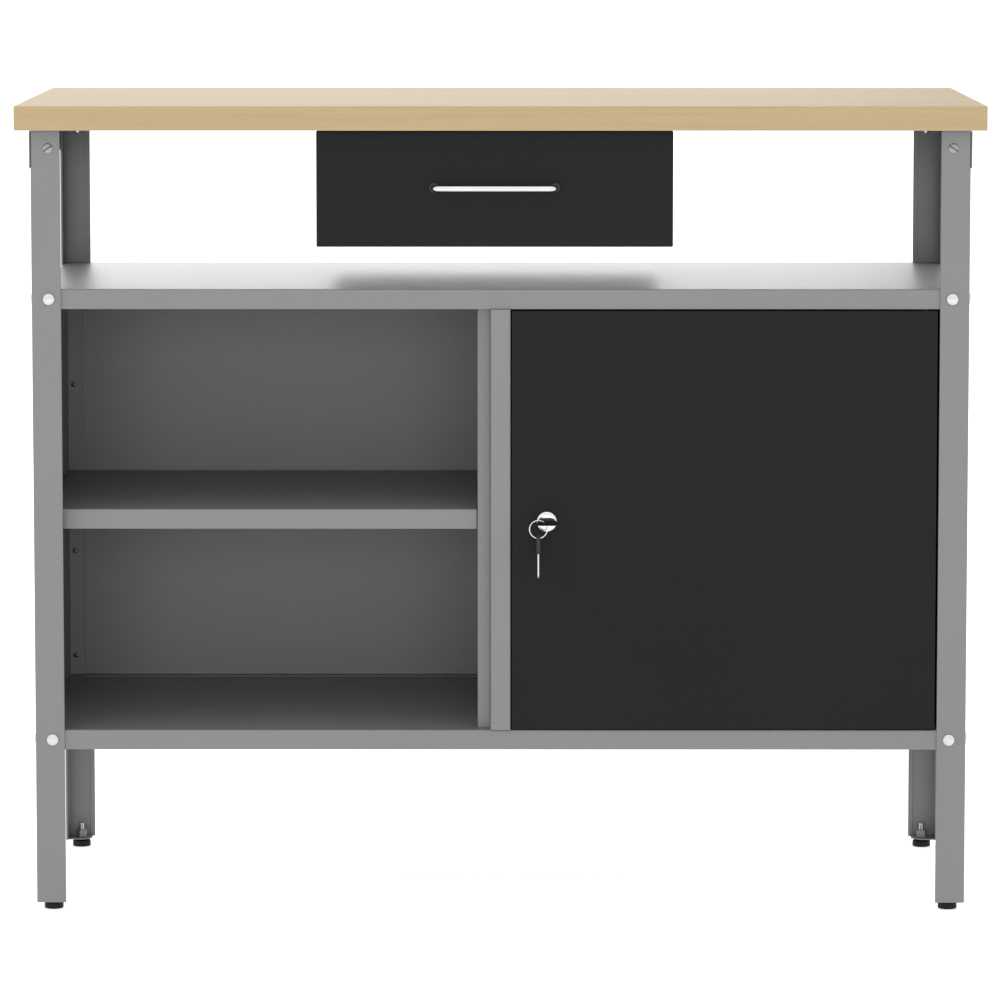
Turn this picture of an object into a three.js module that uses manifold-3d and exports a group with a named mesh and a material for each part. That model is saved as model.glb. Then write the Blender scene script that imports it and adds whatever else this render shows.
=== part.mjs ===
// Workshop bench: a beech worktop on four folded angle legs, with a hung drawer
// under the top, an open tray, two open shelves on the left and a lockable
// cabinet on the right.
//
// Millimetres, +Z up, +X to the right when facing the drawer, -Y is the front.
// Z = 0 is the underside of the levelling feet.
// Numbers inside the frame group are measured from the middle of the leg frame;
// the whole frame is then moved back so that the origin is under the middle of
// the bench's outer box.

import * as THREE from 'three';
import { mergeVertices } from 'three/addons/utils/BufferGeometryUtils.js';
import Module from 'manifold-3d';

const wasm = await Module();
wasm.setup();

// ---------------------------------------------------------------- dimensions
const HEIGHT = 840;            // floor to worktop surface
const TOP_W = 1000;            // worktop, left to right
const TOP_D = 500;             // worktop, front to back
const TOP_T = 25;              // worktop thickness
const TOP_UNDER = HEIGHT - TOP_T;
const TOP_FRONT = -220;        // worktop front edge: 15 ahead of the legs

const FRAME_W = 969;           // over the legs, left to right
const FRAME_D = 410;           // over the legs, front to back
const HX = FRAME_W / 2;
const HY = FRAME_D / 2;

const LEG = 30.5;              // flange width of a leg
const LEG_T = 1.2;             // leg sheet
const HEM = 5;                 // folded-back edge of a leg flange
const HEM_T = 2.4;             // two sheets pressed together
const LEG_Z0 = 8.5;            // underside of the leg's foot plate
const LEG_Z1 = 813.2;
const FOOT_PLATE = 28;         // foot plate, square
const FOOT_CHAMFER = 9;        // its inner corner

const SHEET = 1.0;             // pans and panels
const GAP = 0.2;               // paint and fitting gap between stacked sheets

const PAN_X = HX - HEM_T - GAP;     // 481.9: outside of a pan's side lip
const PAN_Y = HY - HEM_T - GAP;     // 202.4: outside of a pan's front lip
const LIP = 20.6;                   // height of a pan's lips
const TRAY_Z = 650.6;               // upper tray deck, top face
const FLOOR_Z = 190.4;              // bottom panel deck, top face
const SHELF_Z = 420;                // middle shelf, top face
const SHELF_FRONT = -185;           // middle shelf stands 20 back from the legs
const RETURN = 15.4;                // turned-in edge under the tray's front lip

const PANEL_X = PAN_X - SHEET - GAP;   // 480.7: outside of a side panel
const BACK_Y = PAN_Y - SHEET - GAP;    // 201.2: rear face of the back panel
const SIDE_FLANGE = 17;
const RETURN_X = PANEL_X - SHEET - 0.3;   // the turned-in edge ends between the side panels

const DIVIDER_X0 = -24;             // left face of the divider panel
const DIVIDER_Y0 = -186.4;          // its front flange
const POST_HALF = 10.5;             // half width of the divider post
const POST_BACK = -184.2;

const BOLT_Z = [180.2, 640.3];      // bolt rows at the bottom panel and the tray
const BOLT_IN = 17.8;               // bolt centre from the leg's outer faces
const BOLT_HOLE_R = 3.5;
const TOP_BOLT_Z = 796;             // slotted screws at the front legs
const TOP_REAR_BOLT_Z = 798.3;      // domed bolts at the rear legs
const TOP_BOLT_IN = 18;

const RAIL_T = 1.2;                 // top side rail
const RAIL_Z0 = 775.8;
const RAIL_Z1 = 814.6;
const RAIL_TAB_Z = 785;

const FOOT_IN = 16.5;               // foot centre from the leg's outer faces
const FOOT_R = 9.95;
const FOOT_H = 7;
const STUD_R = 2.8;
const STUD_TOP = 25.4;

const DRAWER_X0 = -190, DRAWER_X1 = 178;   // drawer front
const DRAWER_Z0 = 694.5, DRAWER_Z1 = 814.1;
const BOX_X0 = -180, BOX_X1 = 168;         // drawer box
const BOX_Y0 = -193.7, BOX_Y1 = 177;
const BOX_Z0 = 700, BOX_Z1 = 801.5;
const BOX_FLANGE = 8;
const RUNNER_Y0 = -191, RUNNER_Y1 = 186;

const HANDLE_X = -6, HANDLE_Z = 755.5;
const HANDLE_CC = 125;              // distance between the handle's feet
const HANDLE_R = 3.3;               // rod radius
const HANDLE_OUT = 19;              // rod centre ahead of the drawer front
const HANDLE_BEND = 7;

const DOOR_X0 = 11.5, DOOR_X1 = 452;
const DOOR_Z0 = 191.6, DOOR_Z1 = 628.4;
const DOOR_Y0 = -204.6;             // door's outer face
const DOOR_DEEP = 16;
const DOOR_LIP = 12;
const PIVOT_X = 440, PIVOT_Y = -197, PIVOT_R = 2.5;

const LOCK_X = 48, LOCK_Z = 409.3;
const LOCK_FACE_R = 10.6;
const LOCK_FACE_Y = -206.8;
const BARREL_R = 8;
const PLUG_R = 6;
const PLUG_BACK = -180.5;
const KEY_Y = -223;                 // plane of the key ring, through the key's slot
const KEY_HEAD_W = 20, KEY_HEAD_L = 19.3, KEY_HEAD_T = 4;
const KEY_SLOT_W = 12, KEY_SLOT_H = 5.5;
const KEY_EDGE = 1.8;               // plastic left outside the slot
const BLADE_W = 7, BLADE_L = 24.8, BLADE_T = 2.2;
const RING_X = 39.2, RING_Z = 403.3, RING_R = 9.2, RING_WIRE_R = 0.8;

// --------------------------------------------------------------- solid tools
function solid(geometry) {
  const g = geometry.index ? geometry.toNonIndexed() : geometry.clone();
  g.deleteAttribute('normal');
  g.deleteAttribute('uv');
  const m = mergeVertices(g, 1e-4);
  return new wasm.Manifold(new wasm.Mesh({
    numProp: 3,
    vertProperties: new Float32Array(m.attributes.position.array),
    triVerts: new Uint32Array(m.index.array),
  }));
}

function geometryOf(s) {
  const m = s.getMesh();
  const g = new THREE.BufferGeometry();
  g.setAttribute('position', new THREE.BufferAttribute(new Float32Array(m.vertProperties), 3));
  g.setIndex(new THREE.BufferAttribute(new Uint32Array(m.triVerts), 1));
  g.computeVertexNormals();
  return g;
}

// a rectangular sheet or block between two corners, given in any order
function block(xa, xb, ya, yb, za, zb) {
  const g = new THREE.BoxGeometry(Math.abs(xb - xa), Math.abs(yb - ya), Math.abs(zb - za));
  g.translate((xa + xb) / 2, (ya + yb) / 2, (za + zb) / 2);
  return solid(g);
}

// a round bar along an axis
function rod(r, a, b, axis, cx = 0, cy = 0, cz = 0, sides = 12) {
  const g = new THREE.CylinderGeometry(r, r, Math.abs(b - a), sides);
  if (axis === 'z') { g.rotateX(Math.PI / 2); g.translate(cx, cy, (a + b) / 2); }
  if (axis === 'y') g.translate(cx, (a + b) / 2, cz);
  if (axis === 'x') { g.rotateZ(-Math.PI / 2); g.translate((a + b) / 2, cy, cz); }
  return solid(g);
}

// an outline in X and Y, raised from z0 to z1
function prism(points, z0, z1, holes = []) {
  const shape = new THREE.Shape(points.map(([x, y]) => new THREE.Vector2(x, y)));
  for (const h of holes) shape.holes.push(new THREE.Path(h.map(([x, y]) => new THREE.Vector2(x, y))));
  const g = new THREE.ExtrudeGeometry(shape, { depth: z1 - z0, bevelEnabled: false });
  g.translate(0, 0, z0);
  return solid(g);
}

function join(...parts) { return parts.reduce((a, b) => a.add(b)); }
function cut(from, ...tools) { return tools.reduce((a, b) => a.subtract(b), from); }

function turned(profile, sides = 12) {
  // profile of [radius, height] pairs from the bottom up, turned about Z
  const up = profile[0][1] <= profile[profile.length - 1][1] ? profile : [...profile].reverse();
  const g = new THREE.LatheGeometry(up.map(([r, z]) => new THREE.Vector2(r, z)), sides);
  g.rotateX(Math.PI / 2);
  return solid(g);
}

function hexagon(acrossFlats) {
  const r = acrossFlats / Math.sqrt(3);
  return Array.from({ length: 6 }, (_, i) => [r * Math.cos(i * Math.PI / 3), r * Math.sin(i * Math.PI / 3)]);
}

function circle(r, sides = 12) {
  return Array.from({ length: sides }, (_, i) => [r * Math.cos(i * 2 * Math.PI / sides), r * Math.sin(i * 2 * Math.PI / sides)]);
}

// ------------------------------------------------------------------ finishes
const finish = (color, roughness, metalness) => new THREE.MeshStandardMaterial({ color, roughness, metalness });
const beech = () => finish('#e2d2b0', 0.55, 0);
const greyPaint = () => finish('#929492', 0.5, 0.1);
const blackPaint = () => finish('#2b2b2b', 0.55, 0.1);
const zinc = () => finish('#dfe1e0', 0.3, 0.9);
const chrome = () => finish('#e6e8e8', 0.12, 1);
const blackPlastic = () => finish('#262626', 0.6, 0);

const bench = new THREE.Group();
const frame = new THREE.Group();
bench.add(frame);

function place(name, shape, material, x = 0, y = 0, z = 0, turn = null, into = frame) {
  const mesh = new THREE.Mesh(shape.isBufferGeometry ? shape : geometryOf(shape), material);
  mesh.name = name;
  mesh.position.set(x, y, z);
  if (turn) mesh.rotation.set(turn[0], turn[1], turn[2]);
  into.add(mesh);
  return mesh;
}

// ------------------------------------------------------------------- worktop
place('worktop', block(-TOP_W / 2, TOP_W / 2, 0, TOP_D, 0, TOP_T), beech(), 0, TOP_FRONT, TOP_UNDER);

// ---------------------------------------------------------------------- legs
// built from the outer corner: sx, sy point from the corner into the bench
function leg(sx, sy) {
  const z1 = LEG_Z1 - LEG_Z0;
  let s = join(
    block(0, sx * LEG, 0, sy * LEG_T, 0, z1),
    block(0, sx * LEG_T, 0, sy * LEG, 0, z1),
    block(sx * (LEG - HEM), sx * LEG, 0, sy * HEM_T, 0, z1),
    block(0, sx * HEM_T, sy * (LEG - HEM), sy * LEG, 0, z1),
    // foot plate with its inner corner taken off
    prism((() => {
      const p = [[0.4, 0.4], [FOOT_PLATE, 0.4], [FOOT_PLATE, FOOT_PLATE - FOOT_CHAMFER],
        [FOOT_PLATE - FOOT_CHAMFER, FOOT_PLATE], [0.4, FOOT_PLATE]].map(([x, y]) => [sx * x, sy * y]);
      return sx * sy > 0 ? p : p.reverse();
    })(), 0, LEG_T),
  );
  for (const z of BOLT_Z) {
    s = cut(s,
      rod(BOLT_HOLE_R, -1 * sy, 3 * sy, 'y', sx * BOLT_IN, 0, z - LEG_Z0),
      rod(BOLT_HOLE_R, -1 * sx, 3 * sx, 'x', 0, sy * BOLT_IN, z - LEG_Z0));
  }
  s = cut(s,
    rod(BOLT_HOLE_R, -1 * sy, 3 * sy, 'y', sx * TOP_BOLT_IN, 0, (sy < 0 ? TOP_REAR_BOLT_Z : TOP_BOLT_Z) - LEG_Z0),
    rod(STUD_R + 0.5, -1, 3, 'z', sx * FOOT_IN, sy * FOOT_IN));
  return s;
}
for (const [side, x] of [['left', -1], ['right', 1]]) {
  place(`leg_front_${side}`, leg(-x, 1), greyPaint(), x * HX, -HY, LEG_Z0);
  place(`leg_rear_${side}`, leg(-x, -1), greyPaint(), x * HX, HY, LEG_Z0);
}

// ------------------------------------------------------------ top side rails
// outer strap, a flange turned in under the worktop, and a tab at each end
function topSideRail(s) {
  const x0 = s * (RAIL_T + GAP);      // outer face, measured out from the legs
  const x1 = s * GAP;
  const z1 = RAIL_Z1 - RAIL_Z0;
  let r = join(
    block(x0, x1, -HY, HY + 1.4, 0, z1),
    block(x0, -s * 29, -HY, HY + 1.4, z1 - RAIL_T, z1),
    block(-s * 3, -s * 27, -PAN_Y, -PAN_Y + RAIL_T, RAIL_TAB_Z - RAIL_Z0, z1),
    block(x0, -s * 27, HY + GAP, HY + GAP + RAIL_T, RAIL_TAB_Z - RAIL_Z0, z1),
  );
  r = cut(r,
    rod(BOLT_HOLE_R, -HY, -HY + 8, 'y', -s * TOP_BOLT_IN, 0, TOP_BOLT_Z - RAIL_Z0),
    rod(BOLT_HOLE_R, HY - 4, HY + 4, 'y', -s * TOP_BOLT_IN, 0, TOP_REAR_BOLT_Z - RAIL_Z0));
  return r;
}
place('top_side_rail_left', topSideRail(-1), greyPaint(), -HX, 0, RAIL_Z0);
place('top_side_rail_right', topSideRail(1), greyPaint(), HX, 0, RAIL_Z0);

// ---------------------------------------------------------------------- pans
// a deck with four turned-down lips
function pan(x0, x1, y0, y1, lip) {
  return cut(block(x0, x1, y0, y1, -lip, 0),
    block(x0 + SHEET, x1 - SHEET, y0 + SHEET, y1 - SHEET, -lip - 1, -SHEET));
}
function panBoltHoles(s, z) {
  for (const sx of [-1, 1]) {
    const x = sx * (HX - BOLT_IN);
    s = cut(s,
      rod(BOLT_HOLE_R, -PAN_Y - 2, -PAN_Y + 3, 'y', x, 0, z),
      rod(BOLT_HOLE_R, PAN_Y - 3, PAN_Y + 2, 'y', x, 0, z),
      rod(BOLT_HOLE_R, sx * (PAN_X - 3), sx * (PAN_X + 2), 'x', 0, -(HY - BOLT_IN), z),
      rod(BOLT_HOLE_R, sx * (PAN_X - 3), sx * (PAN_X + 2), 'x', 0, HY - BOLT_IN, z));
  }
  return s;
}

// upper tray: its front lip is turned in again at the bottom, and the door's
// upper pivot turns in that edge
let tray = join(pan(-PAN_X, PAN_X, -PAN_Y, PAN_Y, LIP),
  block(-RETURN_X, RETURN_X, -PAN_Y + 0.5, -PAN_Y + RETURN, -LIP, -LIP + SHEET));
tray = panBoltHoles(tray, BOLT_Z[1] - TRAY_Z);
tray = cut(tray, rod(PIVOT_R + 0.4, -LIP - 2, -LIP + 3, 'z', PIVOT_X, PIVOT_Y));
place('upper_tray', tray, greyPaint(), 0, 0, TRAY_Z);

let floor = panBoltHoles(pan(-PAN_X, PAN_X, -PAN_Y, PAN_Y, LIP), BOLT_Z[0] - FLOOR_Z);
floor = cut(floor, rod(PIVOT_R + 0.4, -3, 2, 'z', PIVOT_X, PIVOT_Y));
place('bottom_panel', floor, greyPaint(), 0, 0, FLOOR_Z);

const SHELF_X0 = -(PANEL_X - SHEET) + GAP, SHELF_X1 = DIVIDER_X0 - GAP;
place('middle_shelf', pan(0, SHELF_X1 - SHELF_X0, 0, 199.0 - GAP - SHELF_FRONT, LIP),
  greyPaint(), SHELF_X0, SHELF_FRONT, SHELF_Z);

// -------------------------------------------------------------------- panels
// side panel: web with flanges turned in at the floor, the tray and the back
function sidePanel(s) {
  const xo = s * PANEL_X, xi = s * (PANEL_X - SHEET), xf = s * (PANEL_X - SIDE_FLANGE);
  const z0 = FLOOR_Z + GAP, z1 = TRAY_Z - SHEET - GAP;
  const yb = BACK_Y - SHEET - GAP;   // rear flange stands just ahead of the back
  let p = join(
    block(xo, xi, -BACK_Y, yb, z0, z1),
    block(xo, xf, -184, yb, z0, z0 + SHEET),
    block(xo, xf, -184, yb, z1 - SHEET, z1),
    block(xo, xf, yb - SHEET, yb, z0, 628),
  );
  for (const y of [-(HY - BOLT_IN), HY - BOLT_IN]) {
    p = cut(p, rod(BOLT_HOLE_R, s * (PANEL_X + 2), s * (PANEL_X - 3), 'x', 0, y, BOLT_Z[1]));
  }
  return p;
}
place('side_panel_left', sidePanel(-1), greyPaint());
place('side_panel_right', sidePanel(1), greyPaint());

// back panel: web with a foot flange turned forward onto the bottom panel
{
  const z0 = FLOOR_Z + GAP, z1 = TRAY_Z - SHEET - GAP;
  const fx = PANEL_X - SIDE_FLANGE - 0.5;
  let b = join(
    block(-PANEL_X, PANEL_X, BACK_Y - SHEET, BACK_Y, z0, z1),
    block(-fx, fx, BACK_Y - 16, BACK_Y, z0, z0 + SHEET),
  );
  for (const s of [-1, 1]) b = cut(b, rod(BOLT_HOLE_R, BACK_Y - 3, BACK_Y + 2, 'y', s * (HX - BOLT_IN), 0, BOLT_Z[1]));
  place('back_panel', b, greyPaint());
}

// divider between the shelves and the cabinet
{
  const z0 = FLOOR_Z + GAP, z1 = TRAY_Z - SHEET - GAP;
  const x1 = DIVIDER_X0 + SHEET;
  let d = join(
    block(DIVIDER_X0, x1, DIVIDER_Y0, BACK_Y - SHEET - GAP, z0, z1),
    block(DIVIDER_X0, -POST_HALF - GAP, DIVIDER_Y0, DIVIDER_Y0 + SHEET, z0, z1),
    block(DIVIDER_X0, DIVIDER_X0 + 16, DIVIDER_Y0 + 8, BACK_Y - 18, z0, z0 + SHEET),
    block(DIVIDER_X0, DIVIDER_X0 + 16, DIVIDER_Y0 + 8, BACK_Y - 18, z1 - SHEET, z1),
  );
  d = cut(d, block(DIVIDER_X0 - 1, x1 + 1, BACK_Y - 17, BACK_Y + 2, z0 - 1, z0 + SHEET + 0.6));
  place('divider_panel', d, greyPaint());
}

// post in front of the divider, a folded channel; the cam catches behind its
// right-hand back lip and the left-hand one is fixed behind the divider flange
{
  const yf = -HY, yb = POST_BACK;
  const outline = [
    [-POST_HALF, yf], [POST_HALF, yf], [POST_HALF, yb], [2.5, yb], [2.5, yb - SHEET],
    [POST_HALF - SHEET, yb - SHEET], [POST_HALF - SHEET, yf + SHEET], [-POST_HALF + SHEET, yf + SHEET],
    [-POST_HALF + SHEET, yb], [-21, yb], [-21, yb - SHEET], [-POST_HALF, yb - SHEET],
  ];
  place('divider_post', prism(outline, FLOOR_Z + GAP, TRAY_Z - LIP - GAP), greyPaint());
}

// ------------------------------------------------------------ frame fasteners
// domed bolt with its nut: z = 0 is the face it clamps, the head points to +Z
function domeBolt(grip, headR = 6.1, headH = 3) {
  return join(
    turned([[0, headH + 0.1], [2.4, headH - 0.15], [4.4, headH - 1.0], [5.6, headH - 2.0], [headR, 0.1], [0, 0.1]]),
    rod(2.9, 0.5, -grip - 6.6, 'z'),
    prism(hexagon(10), -grip - 4.8, -grip),
  );
}
function slottedScrew(grip) {
  return cut(join(
    turned([[0, 1.6], [3.4, 1.45], [4.9, 0.95], [5.45, 0.1], [0, 0.1]]),
    rod(2.4, 0.5, -grip - 5.6, 'z'),
    prism(hexagon(8), -grip - 3.6, -grip),
  ), block(-6, 6, -0.5, 0.5, 0.9, 2.5));
}
const OUT_FRONT = [Math.PI / 2, 0, 0];       // head to -Y
const OUT_REAR = [-Math.PI / 2, 0, 0];       // head to +Y
const OUT_LEFT = [0, -Math.PI / 2, 0];       // head to -X
const OUT_RIGHT = [0, Math.PI / 2, 0];       // head to +X
const GRIP_LOW = HEM_T + GAP + SHEET + GAP;          // leg and lip
const GRIP_HIGH = GRIP_LOW + SHEET + GAP;            // leg, lip and panel
for (const [side, s] of [['left', -1], ['right', 1]]) {
  for (const [row, z, k] of [['lower', BOLT_Z[0], 0], ['upper', BOLT_Z[1], 1]]) {
    const x = s * (HX - BOLT_IN), y = HY - BOLT_IN;
    const sideGrip = k ? GRIP_HIGH : GRIP_LOW;
    place(`bolt_front_${row}_${side}`, domeBolt(GRIP_LOW), zinc(), x, -HY, z, OUT_FRONT);
    place(`bolt_rear_${row}_${side}`, domeBolt(sideGrip), zinc(), x, HY, z, OUT_REAR);
    place(`bolt_side_front_${row}_${side}`, domeBolt(sideGrip), zinc(), s * HX, -y, z, s < 0 ? OUT_LEFT : OUT_RIGHT);
    place(`bolt_side_rear_${row}_${side}`, domeBolt(sideGrip), zinc(), s * HX, y, z, s < 0 ? OUT_LEFT : OUT_RIGHT);
  }
  const g = new THREE.Group();               // turned so the slot lies aslant
  g.position.set(s * (HX - TOP_BOLT_IN), -HY, TOP_BOLT_Z);
  g.rotation.set(Math.PI / 2, 0, 0);
  frame.add(g);
  place(`slotted_screw_front_${side}`, slottedScrew(HEM_T + GAP + RAIL_T + GAP), greyPaint(), 0, 0, 0, [0, 0, -s * 0.6], g);
  place(`bolt_top_rear_${side}`, domeBolt(LEG_T + GAP + RAIL_T + GAP), zinc(), s * (HX - TOP_BOLT_IN), HY - LEG_T, TOP_REAR_BOLT_Z, OUT_FRONT);
}

// ------------------------------------------------------------ levelling feet
const footSolid = () => join(
  turned([[0, 0], [FOOT_R - 1, 0], [FOOT_R, 1.2], [FOOT_R, FOOT_H - 1.4], [FOOT_R - 1.4, FOOT_H], [0, FOOT_H]], 16),
  rod(5, FOOT_H - 0.5, LEG_Z0 - 0.3, 'z'),
  rod(STUD_R, FOOT_H - 1, STUD_TOP, 'z'),
);
const footNut = () => prism(hexagon(10), 0, 8.2, [circle(STUD_R + 0.5).reverse()]);
for (const [fore, sy] of [['front', -1], ['rear', 1]]) {
  for (const [side, sx] of [['left', -1], ['right', 1]]) {
    const x = sx * (HX - FOOT_IN), y = sy * (HY - FOOT_IN);
    place(`foot_${fore}_${side}`, footSolid(), blackPlastic(), x, y, 0);
    place(`foot_nut_${fore}_${side}`, footNut(), zinc(), x, y, LEG_Z0 + LEG_T + GAP);
  }
}

// -------------------------------------------------------------------- drawer
// runners: hung under the worktop, their lower lips carry the drawer's flanges
function runner(s, edge) {
  // s points from the drawer outwards; edge is the drawer box's side
  const o = edge + s * (BOX_FLANGE + 1.8);
  return join(
    block(o, o - s * RAIL_T, 0, RUNNER_Y1 - RUNNER_Y0, 0, 15.6),
    block(o, edge + s * 1.4, 0, RUNNER_Y1 - RUNNER_Y0, 0, RAIL_T),
    block(o, edge - s * 8, 0, RUNNER_Y1 - RUNNER_Y0, 15.6 - RAIL_T, 15.6),
  );
}
place('drawer_runner_left', runner(-1, BOX_X0), zinc(), 0, RUNNER_Y0, 799);
place('drawer_runner_right', runner(1, BOX_X1), zinc(), 0, RUNNER_Y0, 799);

// drawer front: a folded panel, open at the back
place('drawer_front', cut(
  block(DRAWER_X0, DRAWER_X1, -HY, -HY + 11, DRAWER_Z0, DRAWER_Z1),
  block(DRAWER_X0 + 1.2, DRAWER_X1 - 1.2, -HY + 1.2, -HY + 12, DRAWER_Z0 + 1.2, DRAWER_Z1 - 1.2),
  rod(2.4, -HY - 1, -HY + 3, 'y', HANDLE_X - HANDLE_CC / 2, 0, HANDLE_Z, 10),
  rod(2.4, -HY - 1, -HY + 3, 'y', HANDLE_X + HANDLE_CC / 2, 0, HANDLE_Z, 10),
), blackPaint());
// drawer box with hanging flanges along both sides
place('drawer_box', join(
  cut(block(BOX_X0, BOX_X1, BOX_Y0, BOX_Y1, BOX_Z0, BOX_Z1),
    block(BOX_X0 + SHEET, BOX_X1 - SHEET, BOX_Y0 + SHEET, BOX_Y1 - SHEET, BOX_Z0 - 1, BOX_Z1 + 1),
    rod(2.4, BOX_Y0 - 1, BOX_Y0 + 3, 'y', HANDLE_X - HANDLE_CC / 2, 0, HANDLE_Z, 10),
    rod(2.4, BOX_Y0 - 1, BOX_Y0 + 3, 'y', HANDLE_X + HANDLE_CC / 2, 0, HANDLE_Z, 10)),
  block(BOX_X0 - BOX_FLANGE, BOX_X0 + 0.5, RUNNER_Y0 - 1.5, BOX_Y1, BOX_Z1 - SHEET, BOX_Z1),
  block(BOX_X1 - 0.5, BOX_X1 + BOX_FLANGE, RUNNER_Y0 - 1.5, BOX_Y1, BOX_Z1 - SHEET, BOX_Z1),
), blackPaint());
// The drawer's bottom plate lies inside the four walls.
place('drawer_bottom', block(
  BOX_X0 + SHEET + 0.3, BOX_X1 - SHEET - 0.3, BOX_Y0 + SHEET + 0.3, BOX_Y1 - SHEET - 0.3, BOX_Z0, BOX_Z0 + SHEET,
), blackPaint());

// bow handle: a bent round rod on two collars, screwed from inside the drawer
{
  const path = new THREE.CurvePath();
  const h = HANDLE_CC / 2, out = -HANDLE_OUT, b = HANDLE_BEND;
  path.add(new THREE.LineCurve3(new THREE.Vector3(-h, -0.2, 0), new THREE.Vector3(-h, out + b, 0)));
  path.add(new THREE.QuadraticBezierCurve3(new THREE.Vector3(-h, out + b, 0), new THREE.Vector3(-h, out, 0), new THREE.Vector3(-h + b, out, 0)));
  path.add(new THREE.LineCurve3(new THREE.Vector3(-h + b, out, 0), new THREE.Vector3(h - b, out, 0)));
  path.add(new THREE.QuadraticBezierCurve3(new THREE.Vector3(h - b, out, 0), new THREE.Vector3(h, out, 0), new THREE.Vector3(h, out + b, 0)));
  path.add(new THREE.LineCurve3(new THREE.Vector3(h, out + b, 0), new THREE.Vector3(h, -0.2, 0)));
  // stations along the rod: few on the straights, more in the bends
  const pts = [];
  pts.push(new THREE.Vector3(-h, -0.2, 0));
  for (let i = 0; i <= 5; i++) pts.push(path.curves[1].getPoint(i / 5));
  for (let i = 0; i <= 5; i++) pts.push(path.curves[3].getPoint(i / 5));
  pts.push(new THREE.Vector3(h, -0.2, 0));
  const sides = 12;
  // sweep the round section along the stations in the bending plane
  const pos = [], idx = [];
  pts.forEach((p, i) => {
    const a = pts[Math.max(i - 1, 0)], c = pts[Math.min(i + 1, pts.length - 1)];
    const t = new THREE.Vector3().subVectors(c, a).normalize();
    const n = new THREE.Vector3(0, 0, 1).cross(t);
    for (let k = 0; k < sides; k++) {
      const w = k * 2 * Math.PI / sides;
      pos.push(p.x + HANDLE_R * Math.cos(w) * n.x, p.y + HANDLE_R * Math.cos(w) * n.y, HANDLE_R * Math.sin(w));
    }
  });
  for (let i = 0; i < pts.length - 1; i++) for (let k = 0; k < sides; k++) {
    const a = i * sides + k, b2 = i * sides + (k + 1) % sides, c = a + sides, d = b2 + sides;
    idx.push(a, b2, c, b2, d, c);
  }
  const first = pos.length / 3; pos.push(pts[0].x, pts[0].y, 0);
  const last = first + 1; const e = pts[pts.length - 1]; pos.push(e.x, e.y, 0);
  const end = (pts.length - 1) * sides;
  for (let k = 0; k < sides; k++) {
    idx.push(first, (k + 1) % sides, k);
    idx.push(last, end + k, end + (k + 1) % sides);
  }
  const g = new THREE.BufferGeometry();
  g.setAttribute('position', new THREE.BufferAttribute(new Float32Array(pos), 3));
  g.setIndex(idx);
  const rodSolid = solid(g);
  const foot = (s) => join(
    rod(4.9, -0.2, -1.8, 'y', s * h, 0, 0, 14),
    rod(2, -1, 13, 'y', s * h, 0, 0, 10),
    rod(4, 12.5, 15, 'y', s * h, 0, 0, 10));
  place('drawer_handle', join(rodSolid, foot(-1), foot(1)), chrome(), HANDLE_X, -HY, HANDLE_Z);
}

// ---------------------------------------------------------------------- door
{
  const y0 = DOOR_Y0, y1 = DOOR_Y0 + DOOR_DEEP;
  let d = join(
    cut(block(DOOR_X0, DOOR_X1, y0, y1, DOOR_Z0, DOOR_Z1),
      block(DOOR_X0 + SHEET, DOOR_X1 - SHEET, y0 + SHEET, y1 + 1, DOOR_Z0 + SHEET, DOOR_Z1 - SHEET)),
    block(DOOR_X0, DOOR_X0 + DOOR_LIP, y1 - SHEET, y1, DOOR_Z0, DOOR_Z1),
    block(DOOR_X1 - DOOR_LIP, DOOR_X1, y1 - SHEET, y1, DOOR_Z0 + 24, DOOR_Z1 - 24),
  );
  d = cut(d,
    rod(BARREL_R + 0.4, y0 - 2, y0 + 3, 'y', LOCK_X, 0, LOCK_Z, 20),
    rod(PIVOT_R + 0.25, DOOR_Z0 - 1, DOOR_Z0 + 3, 'z', PIVOT_X, PIVOT_Y),
    rod(PIVOT_R + 0.25, DOOR_Z1 - 3, DOOR_Z1 + 1, 'z', PIVOT_X, PIVOT_Y));
  place('door_panel', d, blackPaint());
  // pivot pins with a collar inside the door's folded edge
  const pin = (s) => join(rod(PIVOT_R, s * -8, s * 12.5, 'z'), rod(4.2, s * -4.6, s * -1.6, 'z'));
  place('door_pivot_upper', pin(1), zinc(), PIVOT_X, PIVOT_Y, DOOR_Z1);
  place('door_pivot_lower', pin(-1), zinc(), PIVOT_X, PIVOT_Y, DOOR_Z0);
}

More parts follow.
